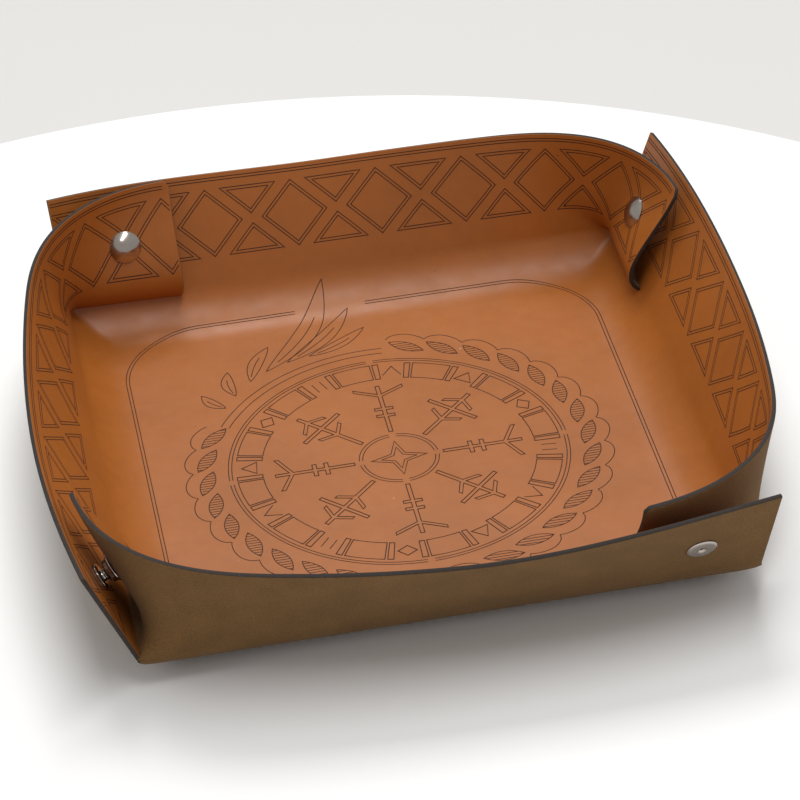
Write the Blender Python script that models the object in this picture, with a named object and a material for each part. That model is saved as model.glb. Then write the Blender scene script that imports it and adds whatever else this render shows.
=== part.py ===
"""A folding tray made from one square of leather, held up by four press studs.

The square has four slits, one by each corner, which run in from the edge in pinwheel order.
Each side is folded up into a wall. One end of a wall is plain, and the other end curls round
the corner and lies inside the next wall, where a press stud joins the two.
The origin is at the middle of the floor, on the surface that the tray stands on, and +Z is up.
"""

import math

import bmesh
import bpy
from mathutils import Matrix, Vector

MM = 0.001

# The sheet
SHEET_HALF = 160 * MM
SLIT_AT = 115 * MM  # the slits start this far from the middle, both ways
LEATHER = 1.8 * MM
GAP = 0.3 * MM
CURVED_GAP = 0.6 * MM  # between pieces whose ends do not face each other squarely

# The fold between the floor and a wall
FLOOR_HALF = 90 * MM
BEND_RADIUS = 26 * MM
WALL_SLOPE = math.radians(55)
ROOT_OUT = FLOOR_HALF + BEND_RADIUS * math.sin(WALL_SLOPE)
ROOT_UP = LEATHER / 2 + BEND_RADIUS * (1 - math.cos(WALL_SLOPE))

# The band above the fold, from the plain end of a wall to the end of its flap
BAND = SHEET_HALF - SLIT_AT
TOP_START = Vector((114.1, -127.2)) * MM
TOP_TURN_OUT = math.radians(-10.4)  # the top edge heads outwards from the plain end
TOP_BOW = math.radians(113.8)  # and turns back by this much over each metre
CURL_HALF_WIDTH = 60 * MM  # along the top edge; the curl narrows to a point at the slit
CURL_TIGHTEST = 1.5 * MM
CURL_SHIFT_LOW = 16 * MM  # how soon the curl comes, low down and at the top edge
CURL_SHIFT_TOP = -5.2 * MM
CURL_TURN_LOW = math.radians(91.6)
CURL_TURN_TOP = math.radians(70.8)
RISE = 36.5 * MM
RISE_AT_CORNER = 8 * MM
RISE_AT_PLAIN_END = 4.8 * MM
CORNER_MIDDLE = -130 * MM
CORNER_SPREAD = 95 * MM
STEP = 1 * MM

# Where the band is parted into pieces
CURL_START = -60 * MM
CURL_MIDDLE = -102 * MM
FLAP_START = -124 * MM
SLIT_CLEARANCE = 3.0 * MM
PLAIN_END_TRIM = 3.0 * MM
MITRE_TRIM = 1.4 * MM

# The press studs
SNAP_ALONG = -133 * MM
SNAP_OUT = 138.5 * MM
CAP_RADIUS = 6.25 * MM
CAP_HEIGHT = 2.9 * MM
SHANK_RADIUS = 1.5 * MM
CAP_SEAT_GAP = 0.8 * MM  # the flap is slightly hollow under the cap
SOCKET_SEAT_GAP = 0.4 * MM
HOLE_RADIUS = 2.0 * MM
SOCKET_RADIUS = 5.2 * MM
SOCKET_HEIGHT = 2.4 * MM
STUD_RADIUS = 5.0 * MM
KNOB_RADIUS = 2.2 * MM
KNOB_HEIGHT = 1.7 * MM
POST_RADIUS = 5.6 * MM
ROUND_STEPS = 20

WALLS = ("front", "left", "back", "right")
CORNERS = ("front_left", "back_left", "back_right", "front_right")  # where each wall's flap lies

COLOURS = {
    "tan_leather": ((0.50, 0.17, 0.04), 0.5, 0.0),
    "nickel": ((0.62, 0.60, 0.57), 0.25, 1.0),
}


def clear_scene():
    for old in list(bpy.data.objects):
        bpy.data.objects.remove(old, do_unlink=True)


def material(name):
    found = bpy.data.materials.get(name)
    if found:
        return found
    colour, roughness, metallic = COLOURS[name]
    made = bpy.data.materials.new(name)
    made.use_nodes = True
    shader = made.node_tree.nodes["Principled BSDF"]
    shader.inputs["Base Color"].default_value = (*colour, 1.0)
    shader.inputs["Roughness"].default_value = roughness
    shader.inputs["Metallic"].default_value = metallic
    return made


def smoothstep(x):
    x = min(1.0, max(0.0, x))
    return x * x * (3 - 2 * x)


def spread(low, high, count):
    """Evenly spaced values from low to high, both ends included."""
    return [low + (high - low) * i / (count - 1) for i in range(count)]


# ---------------------------------------------------------------- the leather's shape


def fold_profile(distance):
    """How far out and how far up the middle of the leather lies, at a distance along it from the middle."""
    if distance <= FLOOR_HALF:
        return distance, LEATHER / 2
    turned = min((distance - FLOOR_HALF) / BEND_RADIUS, WALL_SLOPE)
    beyond = distance - FLOOR_HALF - BEND_RADIUS * turned
    out = FLOOR_HALF + BEND_RADIUS * math.sin(turned) + beyond * math.cos(turned)
    up = LEATHER / 2 + BEND_RADIUS * (1 - math.cos(turned)) + beyond * math.sin(turned)
    return out, up


def fold_point(along, distance):
    """A point of the floor or the fold, on the front side of the tray."""
    out, up = fold_profile(distance)
    sideways = fold_profile(abs(along))[0]
    return Vector((math.copysign(sideways, along), -out, up))


def heading(along, height):
    """Which way the band runs, as a turn from straight along the wall, at a height from 0 to 1."""
    bow = (TOP_TURN_OUT + TOP_BOW * (SLIT_AT - along)) * height
    half_width = CURL_HALF_WIDTH * height + CURL_TIGHTEST
    low_shift = CURL_SHIFT_LOW * (1 - height - (1 - height) ** 6)
    centre = -SLIT_AT + low_shift + CURL_SHIFT_TOP * height
    turn = CURL_TURN_LOW + (CURL_TURN_TOP - CURL_TURN_LOW) * height
    return bow + turn * smoothstep((centre + half_width - along) / (2 * half_width))


def band_rise(along):
    at_corner = RISE_AT_CORNER * math.exp(-(((along - CORNER_MIDDLE) / CORNER_SPREAD) ** 2))
    return RISE + at_corner + RISE_AT_PLAIN_END * smoothstep(along / SLIT_AT)


def band_row(height, alongs):
    """Points along the band at one height, for falling values of along."""
    low_start = Vector((ROOT_OUT, -ROOT_OUT))
    place = low_start.lerp(TOP_START, height)
    packing = ROOT_OUT / SLIT_AT
    at = SLIT_AT
    points = []
    for along in alongs:
        while at - along > 1e-9:
            step = min(STEP, at - along)
            turn = heading(at - step / 2, height)
            pace = packing + (1 - packing) * height if at > -SLIT_AT else 1.0
            place = place + Vector((-math.cos(turn), math.sin(turn))) * step * pace
            at -= step
        points.append(Vector((place.x, place.y, ROOT_UP + band_rise(along) * height)))
    return points


def band_grid(alongs, distances):
    return [band_row((d - SLIT_AT) / BAND, alongs) for d in distances]


def grid_normals(grid):
    """The leather's outward side at each point of a grid."""
    rows, columns = len(grid), len(grid[0])
    normals = []
    for i in range(rows):
        row = []
        for j in range(columns):
            up = grid[min(i + 1, rows - 1)][j] - grid[max(i - 1, 0)][j]
            along = grid[i][min(j + 1, columns - 1)] - grid[i][max(j - 1, 0)]
            row.append(up.cross(along).normalized())
        normals.append(row)
    return normals


def slab(grid):
    """A closed mesh of the leather's thickness, with the grid running through its middle."""
    rows, columns = len(grid), len(grid[0])
    normals = grid_normals(grid)
    mesh = bmesh.new()
    sides = []
    for side in (-0.5, 0.5):
        sides.append(
            [
                [mesh.verts.new(grid[i][j] + normals[i][j] * LEATHER * side) for j in range(columns)]
                for i in range(rows)
            ]
        )
    inner, outer = sides
    for i in range(rows - 1):
        for j in range(columns - 1):
            mesh.faces.new((inner[i][j], inner[i + 1][j], inner[i + 1][j + 1], inner[i][j + 1]))
            mesh.faces.new((outer[i][j], outer[i][j + 1], outer[i + 1][j + 1], outer[i + 1][j]))
    rim = [(0, j) for j in range(columns)]
    rim += [(i, columns - 1) for i in range(1, rows)]
    rim += [(rows - 1, j) for j in range(columns - 2, -1, -1)]
    rim += [(i, 0) for i in range(rows - 2, 0, -1)]
    for (i, j), (k, m) in zip(rim, rim[1:] + rim[:1]):
        mesh.faces.new((inner[i][j], inner[k][m], outer[k][m], outer[i][j]))
    bmesh.ops.recalc_face_normals(mesh, faces=mesh.faces)
    return mesh


# ---------------------------------------------------------------- objects


def add_object(name, mesh, material_name, turn=0.0, smooth_angle=40):
    """Puts a mesh in the scene, turned about the tray's middle."""
    data = bpy.data.meshes.new(name)
    mesh.transform(Matrix.Rotation(turn, 4, "Z"))
    mesh.to_mesh(data)
    mesh.free()
    data.shade_smooth()
    data.set_sharp_from_angle(angle=math.radians(smooth_angle))
    data.materials.append(material(material_name))
    made = bpy.data.objects.new(name, data)
    bpy.context.scene.collection.objects.link(made)
    return made


def cut_hole(target, place, axis, turn):
    """Cuts the hole that a press stud's shank passes through."""
    cutter = bmesh.new()
    bmesh.ops.create_cone(
        cutter,
        cap_ends=True,
        segments=ROUND_STEPS,
        radius1=HOLE_RADIUS,
        radius2=HOLE_RADIUS,
        depth=6 * LEATHER,
    )
    cutter.transform(Matrix.Translation(place) @ axis.to_track_quat("Z", "Y").to_matrix().to_4x4())
    tool = add_object(target.name + "_hole", cutter, "tan_leather", turn)
    tool.hide_render = True
    tool.display_type = "WIRE"
    cut = target.modifiers.new("hole", "BOOLEAN")
    cut.object = tool
    cut.operation = "DIFFERENCE"


def turned(profile, place, axis):
    """A turned piece. The profile is a closed outline of (radius, height) along the axis."""
    mesh = bmesh.new()
    rings = []
    for radius, height in profile:
        if radius == 0:
            rings.append([mesh.verts.new((0, 0, height))])
            continue
        angles = [math.tau * k / ROUND_STEPS for k in range(ROUND_STEPS)]
        rings.append([mesh.verts.new((radius * math.cos(a), radius * math.sin(a), height)) for a in angles])
    closes = profile[0][0] != 0
    pairs = list(zip(rings, rings[1:])) + ([(rings[-1], rings[0])] if closes else [])
    for lower, upper in pairs:
        for k in range(ROUND_STEPS):
            nxt = (k + 1) % ROUND_STEPS
            corners = [lower[k % len(lower)], lower[nxt % len(lower)], upper[nxt % len(upper)], upper[k % len(upper)]]
            face = list(dict.fromkeys(corners))
            if len(face) > 2:
                mesh.faces.new(face)
    bmesh.ops.recalc_face_normals(mesh, faces=mesh.faces)
    mesh.transform(Matrix.Translation(place) @ axis.to_track_quat("Z", "Y").to_matrix().to_4x4())
    return mesh


# ---------------------------------------------------------------- the pieces


def make_floor():
    edge = FLOOR_HALF - GAP / 2
    mesh = bmesh.new()
    bmesh.ops.create_cube(mesh, size=1.0)
    bmesh.ops.scale(mesh, vec=(2 * edge, 2 * edge, LEATHER), verts=mesh.verts)
    bmesh.ops.translate(mesh, vec=(0, 0, LEATHER / 2), verts=mesh.verts)
    add_object("floor_panel", mesh, "tan_leather")


def mitred_run(distance):
    """Places along one row of a fold, which stops short of the folds of the walls beside it."""
    turned = (distance - FLOOR_HALF) / BEND_RADIUS
    reach = distance - GAP - MITRE_TRIM * math.sin(turned)
    return spread(reach, -reach, 13)


def make_fold(wall, turn):
    distances = spread(FLOOR_HALF + GAP / 2, SLIT_AT - GAP / 2, 7)
    grid = [[fold_point(along, d) for along in mitred_run(d)] for d in distances]
    add_object("fold_" + wall, slab(grid), "tan_leather", turn)


def snap_frames():
    """Where the flap's and the next wall's middles are at the press stud, with their outward sides."""
    reach = 5 * MM
    flap = band_grid(
        [SNAP_ALONG + reach, SNAP_ALONG, SNAP_ALONG - reach], [SNAP_OUT - reach, SNAP_OUT, SNAP_OUT + reach]
    )
    flap_place = flap[1][1]
    flap_axis = grid_normals(flap)[1][1]
    quarter = Matrix.Rotation(-math.pi / 2, 3, "Z")
    next_wall = band_grid(spread(SLIT_AT, SLIT_AT / 2, 60), spread(SNAP_OUT - 12 * MM, SNAP_OUT, 13))
    next_wall = [[quarter @ point for point in row] for row in next_wall]
    normals = grid_normals(next_wall)

    def off_axis(place):
        away = next_wall[place[0]][place[1]] - flap_place
        return (away - flap_axis * away.dot(flap_axis)).length

    row, column = min(((i, j) for i in range(1, 12) for j in range(1, 59)), key=off_axis)
    return flap_place, flap_axis, next_wall[row][column], normals[row][column]


def make_band(wall, turn):
    low = SLIT_AT + CURVED_GAP / 2
    wall_rows = spread(low, SHEET_HALF, 6)
    plain = band_grid(spread(SLIT_AT - PLAIN_END_TRIM, CURL_START + GAP / 2, 19), wall_rows)
    wall_piece = add_object("wall_" + wall, slab(plain), "tan_leather", turn)
    raised_rows = spread(SLIT_AT + SLIT_CLEARANCE, SHEET_HALF, 9)
    corner = band_grid(spread(CURL_START - GAP / 2, CURL_MIDDLE + CURVED_GAP / 2, 15), raised_rows)
    add_object("corner_" + wall, slab(corner), "tan_leather", turn)
    curl = band_grid(spread(CURL_MIDDLE - CURVED_GAP / 2, FLAP_START + GAP / 2, 10), raised_rows)
    add_object("curl_" + wall, slab(curl), "tan_leather", turn)
    flap = band_grid(spread(FLAP_START - GAP / 2, -SHEET_HALF, 7), raised_rows)
    flap_piece = add_object("flap_" + wall, slab(flap), "tan_leather", turn)
    flap_place, flap_axis, _, _ = snap_frames()
    cut_hole(flap_piece, flap_place, flap_axis, turn)
    return wall_piece


def make_cap(corner, turn, place, axis):
    """The domed cap on the inner side of the flap, with the shank that holds it."""
    base = -LEATHER / 2 - CAP_SEAT_GAP
    shank_end = LEATHER / 2 + SOCKET_SEAT_GAP + 1.1 * MM
    dome = [
        (CAP_RADIUS * math.sin(a), base - CAP_HEIGHT * (0.2 + 0.8 * math.cos(a)))
        for a in (math.radians(15 * k) for k in range(7))
    ]
    profile = dome + [(CAP_RADIUS, base), (SHANK_RADIUS, base), (SHANK_RADIUS, shank_end), (0, shank_end)]
    add_object("cap_" + corner, turned(profile, place, axis), "nickel", turn)


def make_socket(corner, turn, place, axis):
    """The ring on the outer side of the flap that the stud's knob goes into."""
    base = LEATHER / 2 + SOCKET_SEAT_GAP
    lip = SHANK_RADIUS + GAP
    bore = KNOB_RADIUS + GAP
    profile = [
        (lip, base),
        (SOCKET_RADIUS, base),
        (SOCKET_RADIUS, base + 0.6 * MM),
        (SOCKET_RADIUS - 0.7 * MM, base + 1.0 * MM),
        (SOCKET_RADIUS - 0.9 * MM, base + SOCKET_HEIGHT - 0.3 * MM),
        (SOCKET_RADIUS - 1.3 * MM, base + SOCKET_HEIGHT),
        (bore + 0.3 * MM, base + SOCKET_HEIGHT),
        (bore, base + SOCKET_HEIGHT - 0.3 * MM),
        (bore, base + 0.7 * MM),
        (lip, base + 0.7 * MM),
    ]
    add_object("socket_" + corner, turned(profile, place, axis), "nickel", turn)


def make_stud(corner, turn, place, axis):
    """The stud on the inner side of the next wall, with its knob towards the socket."""
    base = -LEATHER / 2 - GAP
    bore = SHANK_RADIUS - 0.3 * MM + GAP
    top = base - 0.8 * MM
    profile = [
        (bore, base),
        (STUD_RADIUS, base),
        (STUD_RADIUS, base - 0.5 * MM),
        (STUD_RADIUS - 0.4 * MM, top),
        (KNOB_RADIUS - 0.2 * MM, top),
        (KNOB_RADIUS - 0.2 * MM, top - 0.5 * MM),
        (KNOB_RADIUS, top - 0.9 * MM),
        (KNOB_RADIUS - 0.1 * MM, top - 1.4 * MM),
        (KNOB_RADIUS - 0.6 * MM, top - KNOB_HEIGHT),
        (bore - 0.3 * MM, top - KNOB_HEIGHT),
        (bore - 0.3 * MM, top - KNOB_HEIGHT + 0.4 * MM),
        (bore, top - KNOB_HEIGHT + 0.5 * MM),
    ]
    add_object("stud_" + corner, turned(profile, place, axis), "nickel", turn)


def make_post(corner, turn, place, axis):
    """The flat head on the outer side of the next wall, with its hollow shank through the leather."""
    base = LEATHER / 2 + GAP
    shank = SHANK_RADIUS - 0.3 * MM
    hollow = 0.7 * MM
    end = -LEATHER / 2 - GAP - 1.2 * MM
    profile = [
        (shank, end),
        (shank, base),
        (POST_RADIUS, base),
        (POST_RADIUS, base + 0.35 * MM),
        (POST_RADIUS - 0.5 * MM, base + 0.7 * MM),
        (hollow + 0.9 * MM, base + 0.8 * MM),
        (hollow, base + 0.4 * MM),
        (hollow, end),
    ]
    add_object("post_" + corner, turned(profile, place, axis), "nickel", turn)


def main():
    clear_scene()
    make_floor()
    flap_place, flap_axis, stud_place, stud_axis = snap_frames()
    wall_pieces = {}
    for number, wall in enumerate(WALLS):
        turn = -number * math.pi / 2
        make_fold(wall, turn)
        wall_pieces[wall] = make_band(wall, turn)
    for number, wall in enumerate(WALLS):
        turn = -number * math.pi / 2
        make_cap(CORNERS[number], turn, flap_place, flap_axis)
        make_socket(CORNERS[number], turn, flap_place, flap_axis)
        make_stud(CORNERS[number], turn, stud_place, stud_axis)
        make_post(CORNERS[number], turn, stud_place, stud_axis)
        next_wall = WALLS[(number + 1) % len(WALLS)]
        cut_hole(wall_pieces[next_wall], stud_place, stud_axis, turn)


main()
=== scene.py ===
"""A tray folded from one square of engraved leather and held up by four press studs.

The script is laid out as a Blender add-on and runs as a script. Each operator makes one kind of
piece over the CAD model that the frame holds: the leather, its engraved lines, the press studs
and the stage that they are shown on. Lengths are in metres, the origin is at the middle of the tray's underside, and
the front of the tray is towards -Y.

A flat place is a point of the leather before it is folded, with its origin at the sheet's middle.
Seen from one wall it is two numbers: how far along the wall, falling from the plain end to the
flap, and how far from the sheet's middle. The front wall is the pattern for the other three.
"""

import math

import bpy
import numpy as np
from mathutils import Matrix, Vector


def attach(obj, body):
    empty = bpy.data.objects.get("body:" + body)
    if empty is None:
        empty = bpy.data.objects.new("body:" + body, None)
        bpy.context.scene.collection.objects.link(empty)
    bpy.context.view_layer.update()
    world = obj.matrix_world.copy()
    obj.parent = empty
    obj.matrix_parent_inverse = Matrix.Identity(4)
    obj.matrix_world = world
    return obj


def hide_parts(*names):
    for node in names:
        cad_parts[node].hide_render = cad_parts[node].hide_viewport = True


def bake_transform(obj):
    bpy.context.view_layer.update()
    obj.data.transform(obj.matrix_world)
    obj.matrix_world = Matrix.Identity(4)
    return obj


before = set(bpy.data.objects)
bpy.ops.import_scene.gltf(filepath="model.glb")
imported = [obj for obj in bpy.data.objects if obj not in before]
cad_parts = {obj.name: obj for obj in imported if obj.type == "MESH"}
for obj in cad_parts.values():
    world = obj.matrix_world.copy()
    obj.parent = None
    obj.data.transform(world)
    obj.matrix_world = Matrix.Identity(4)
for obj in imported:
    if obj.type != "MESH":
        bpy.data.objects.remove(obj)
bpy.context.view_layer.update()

bl_info = {
    "name": "Folded Leather Tray",
    "version": (1, 0, 0),
    "blender": (4, 5, 0),
    "location": "View3D > Sidebar > Leather Tray",
    "description": "Makes a tray folded from engraved leather, with press studs at its corners",
    "category": "Add Mesh",
}

MM = 0.001
QUARTER = math.pi / 2
WALLS = ("front", "left", "back", "right")
CORNERS = ("front_left", "back_left", "back_right", "front_right")  # where each wall's flap lies
FLAT_UV = "Flat"  # the UV map that holds each point's flat place, in sheet widths


# ---------------------------------------------------------------- sizes and colours


def length(name, description, value, **options):
    """A length property, given in millimetres."""
    return bpy.props.FloatProperty(
        name=name, description=description, default=value * MM, unit="LENGTH", precision=5, **options
    )


def angle(name, description, degrees):
    return bpy.props.FloatProperty(
        name=name, description=description, default=math.radians(degrees), subtype="ANGLE"
    )


def colour(name, description, hex_value):
    """A colour property, given as sRGB hex and kept linear."""
    return bpy.props.FloatVectorProperty(
        name=name,
        description=description,
        default=linear(hex_value),
        size=3,
        min=0.0,
        max=1.0,
        subtype="COLOR",
    )


def linear(hex_value):
    """The linear colour of an sRGB hex value such as "#C08040"."""
    parts = [int(hex_value[i : i + 2], 16) / 255 for i in (1, 3, 5)]
    return tuple(p / 12.92 if p <= 0.04045 else ((p + 0.055) / 1.055) ** 2.4 for p in parts)


class TrayLeatherSizes(bpy.types.PropertyGroup):
    sheet_half: length("Half sheet", "From the middle of the leather to its edge", 160)
    slit_at: length("Slit start", "From the middle to the line where the slits start", 115)
    floor_half: length("Half floor", "From the middle to where the fold starts", 90)
    thickness: length("Thickness", "Thickness of the leather", 1.8)
    bend_radius: length("Fold radius", "Radius of the fold between floor and wall", 26)
    wall_slope: angle("Wall slope", "How far the walls are folded up", 55)
    rise: length("Rise", "Height of the wall's top edge above the end of the fold", 36.5)
    edge_round: length("Edge rounding", "Width of the worn edge of the leather", 0.35)
    kerf: length("Cut width", "Half the width of the cut at a slit", 0.25)
    flap_round: length("Flap corner", "Radius of the flap's top corner", 3)


class TrayEngravingSizes(bpy.types.PropertyGroup):
    line_width: length("Line width", "Width of an engraved line", 0.36)
    line_depth: length("Line depth", "Depth of the burnt leather in an engraved line", 0.30)
    line_rise: length("Line rise", "How far a line stands proud, so that it covers the grain", 0.03)
    ring_radius: length("Ring radius", "Radius of the large ring on the floor", 64.1)
    ring_middle: length("Ring middle", "Place of the ring's middle, forwards of the sheet's", -4.8)
    lattice_pitch: length("Lattice pitch", "From one crossing of the wall's lattice to the next", 34.7)
    lattice_low: length("Lattice foot", "From the top edge down to the lattice's foot", 33)
    lattice_high: length("Lattice head", "From the top edge down to the lattice's head", 6.5)


class TrayStudSizes(bpy.types.PropertyGroup):
    along: length("Place along", "Where the press stud is along the flap", -138.1)
    out: length("Place out", "Where the press stud is, from the sheet's middle", 138.5)
    cap_radius: length("Cap radius", "Radius of the domed cap", 6.25)
    cap_height: length("Cap height", "Height of the domed cap", 2.9)
    socket_radius: length("Socket radius", "Radius of the socket on the flap", 5.2)
    stud_radius: length("Stud radius", "Radius of the stud's flange", 5.0)
    post_radius: length("Post radius", "Radius of the flat head outside", 5.6)


class TrayColours(bpy.types.PropertyGroup):
    grain: colour("Grain side", "Tan finish of the smooth side", "#A66024")
    suede: colour("Flesh side", "Olive brown of the rough side", "#7A5A34")
    edge: colour("Cut edge", "Burnt edge of the leather", "#3B332E")
    line: colour("Engraved line", "Burnt leather in the engraved lines", "#3B1B0A")
    nickel: colour("Nickel", "Plating of the press studs", "#BDB3AA")
    table: colour("Table", "White table top under the tray", "#FBFBFA")
    backdrop: colour("Backdrop", "Pale sheet behind the table", "#E9E8E5")


class TrayStage(bpy.types.PropertyGroup):
    azimuth: angle("Azimuth", "Which way round the tray the camera stands", -8.537)
    elevation: angle("Elevation", "How high the camera stands", 35.886)
    roll: angle("Roll", "How far the camera leans", -3.558)
    distance: length("Distance", "From the camera to the point that it looks at", 1391.7)
    focal_length: bpy.props.FloatProperty(
        name="Focal length", description="Focal length in millimetres", default=163.08, unit="CAMERA"
    )


GROUPS = {
    "tray_leather": TrayLeatherSizes,
    "tray_engraving": TrayEngravingSizes,
    "tray_studs": TrayStudSizes,
    "tray_colours": TrayColours,
    "tray_stage": TrayStage,
}


# ---------------------------------------------------------------- the shape of the folded sheet

# The band above the fold, from the plain end of a wall to the end of its flap
TOP_START = (114.1 * MM, -127.2 * MM)
TOP_TURN_OUT = math.radians(-10.4)  # the top edge heads outwards from the plain end
TOP_BOW = math.radians(113.8)  # and turns back by this much over each metre
CURL_HALF_WIDTH = 60 * MM  # along the top edge; the curl narrows to a point at the slit
CURL_TIGHTEST = 1.5 * MM
CURL_SHIFT_LOW = 16 * MM  # how soon the curl comes, low down and at the top edge
CURL_SHIFT_TOP = -5.2 * MM
CURL_TURN_LOW = math.radians(91.6)
CURL_TURN_TOP = math.radians(70.8)
RISE_AT_CORNER = 8 * MM
RISE_AT_PLAIN_END = 4.8 * MM
CORNER_MIDDLE = -130 * MM
CORNER_SPREAD = 95 * MM
SQUEEZE = 0.14  # how much the leather is gathered along the curl's lower rows
SQUEEZE_FROM = -60 * MM
TABLE_STEP = 0.5 * MM
TABLE_ROWS = 91

# Where the straight cuts between the band's pieces meet the top edge, from the slit's line
CORNER_FROM = 62 * MM
CURL_FROM = 16 * MM
FLAP_FROM = -40 * MM

NORMAL_REACH = 2 * MM
CORNER_NORMAL_REACH = 5 * MM  # more, near the floor's corners, which the leather rounds off


def smoothstep(x):
    x = np.clip(x, 0.0, 1.0)
    return x * x * (3 - 2 * x)


def wall_turn(wall):
    return Matrix.Rotation(-wall * QUARTER, 3, "Z")


def turned_points(points, wall):
    """Points of the front wall, as they lie on another wall."""
    return np.asarray(points) @ np.array(wall_turn(wall).transposed())


class FoldedSheet:
    """Where the leather's middle lies, and which way its outer side faces, at each flat place."""

    def __init__(self, sizes):
        self.sizes = sizes
        self.band = sizes.sheet_half - sizes.slit_at
        bent = sizes.bend_radius
        self.root_out = sizes.floor_half + bent * math.sin(sizes.wall_slope)
        self.root_up = sizes.thickness / 2 + bent * (1 - math.cos(sizes.wall_slope))
        self.root = np.array((-self.root_out, -self.root_out, self.root_up))
        self.table = self.band_table()

    def fold_out_up(self, distance):
        """How far out and up the fold has gone, at distances from the sheet's middle."""
        sizes = self.sizes
        past = np.maximum(distance - sizes.floor_half, 0.0)
        turned = np.minimum(past / sizes.bend_radius, sizes.wall_slope)
        beyond = past - sizes.bend_radius * turned
        out = np.minimum(distance, sizes.floor_half)
        out = out + sizes.bend_radius * np.sin(turned) + beyond * np.cos(turned)
        up = sizes.thickness / 2 + sizes.bend_radius * (1 - np.cos(turned)) + beyond * np.sin(turned)
        return out, up

    def heading(self, along, height):
        """Which way the band runs, as a turn from straight along the wall."""
        bow = (TOP_TURN_OUT + TOP_BOW * (self.sizes.slit_at - along)) * height
        half_width = CURL_HALF_WIDTH * height + CURL_TIGHTEST
        low_shift = CURL_SHIFT_LOW * (1 - height - (1 - height) ** 6)
        centre = -self.sizes.slit_at + low_shift + CURL_SHIFT_TOP * height
        turn = CURL_TURN_LOW + (CURL_TURN_TOP - CURL_TURN_LOW) * height
        return bow + turn * smoothstep((centre + half_width - along) / (2 * half_width))

    def band_rise(self, along):
        slit = self.sizes.slit_at
        at_corner = RISE_AT_CORNER * np.exp(-(((along - CORNER_MIDDLE) / CORNER_SPREAD) ** 2))
        return self.sizes.rise + at_corner + RISE_AT_PLAIN_END * smoothstep(along / slit)

    def band_table(self):
        """The band's middle at evenly spaced heights and places along it."""
        slit = self.sizes.slit_at
        count = round((slit + self.sizes.sheet_half) / TABLE_STEP)
        height = np.linspace(0.0, 1.0, TABLE_ROWS)[:, None]
        places = slit - TABLE_STEP * np.arange(count + 1)[None, :]
        middles = places[:, :-1] - TABLE_STEP / 2
        turn = self.heading(middles, height)
        packing = self.root_out / slit
        pace = np.where(middles > -slit, packing + (1 - packing) * height, 1.0) * TABLE_STEP
        start_x = self.root_out + (TOP_START[0] - self.root_out) * height
        start_y = -self.root_out + (TOP_START[1] + self.root_out) * height
        x = np.cumsum(np.hstack((start_x, -np.cos(turn) * pace)), axis=1)
        y = np.cumsum(np.hstack((start_y, np.sin(turn) * pace)), axis=1)
        z = self.root_up + self.band_rise(places) * height
        return np.dstack((x, y, z))

    def place_on_band(self, along, distance):
        rows, columns = self.table.shape[:2]
        height = np.clip((distance - self.sizes.slit_at) / self.band, 0, 1)
        squeezed = np.minimum(along - SQUEEZE_FROM, 0) * SQUEEZE * (1 - height - (1 - height) ** 6)
        row = height * (rows - 1)
        column = np.clip((self.sizes.slit_at - along + squeezed) / TABLE_STEP, 0, columns - 1)
        i = np.minimum(row.astype(int), rows - 2)
        j = np.minimum(column.astype(int), columns - 2)
        a = (row - i)[..., None]
        b = (column - j)[..., None]
        low = self.table[i, j] * (1 - b) + self.table[i, j + 1] * b
        high = self.table[i + 1, j] * (1 - b) + self.table[i + 1, j + 1] * b
        return low * (1 - a) + high * a

    def place_on_fold(self, along, distance):
        out_x, up_x = self.fold_out_up(np.abs(along))
        out_y, up_y = self.fold_out_up(np.abs(distance))
        return np.stack((np.sign(along) * out_x, -np.sign(distance) * out_y, np.maximum(up_x, up_y)), -1)

    def place(self, along, distance):
        """The leather's middle at a flat place, seen from the front wall."""
        along, distance = np.broadcast_arrays(np.asarray(along, float), np.asarray(distance, float))
        on_band = (distance >= self.sizes.slit_at)[..., None]
        return np.where(on_band, self.place_on_band(along, distance), self.place_on_fold(along, distance))

    def outward(self, along, distance):
        """The side of the leather that faces out and down, at a flat place seen from the front wall."""
        sizes = self.sizes
        along, distance = np.broadcast_arrays(np.asarray(along, float), np.asarray(distance, float))
        nearest = np.minimum(np.abs(along), np.abs(distance))
        in_corner = smoothstep((nearest - sizes.floor_half + 6 * MM) / (14 * MM))
        in_corner = np.where(distance > sizes.slit_at, 0.0, in_corner)
        reach = NORMAL_REACH + (CORNER_NORMAL_REACH - NORMAL_REACH) * in_corner
        on_band = distance >= sizes.slit_at
        beside_slit = along < -sizes.slit_at
        far = np.where(on_band, sizes.slit_at, along + reach)
        low = np.where(beside_slit, sizes.slit_at, -sizes.sheet_half)
        up_to = np.minimum(distance + reach, sizes.sheet_half)
        down_to = np.maximum(distance - reach, low)
        rise = self.place(along, up_to) - self.place(along, down_to)
        run = self.place(np.maximum(along - reach, -sizes.sheet_half), distance)
        run = run - self.place(np.minimum(along + reach, far), distance)
        normal = np.cross(rise, run)
        return normal / np.linalg.norm(normal, axis=-1, keepdims=True)

    def from_wall(self, x, y, wall):
        """A flat place of the whole sheet, seen from one wall: along and distance."""
        c, s = round(math.cos(wall * QUARTER)), round(math.sin(wall * QUARTER))
        return c * x - s * y, -(s * x + c * y)

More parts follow.
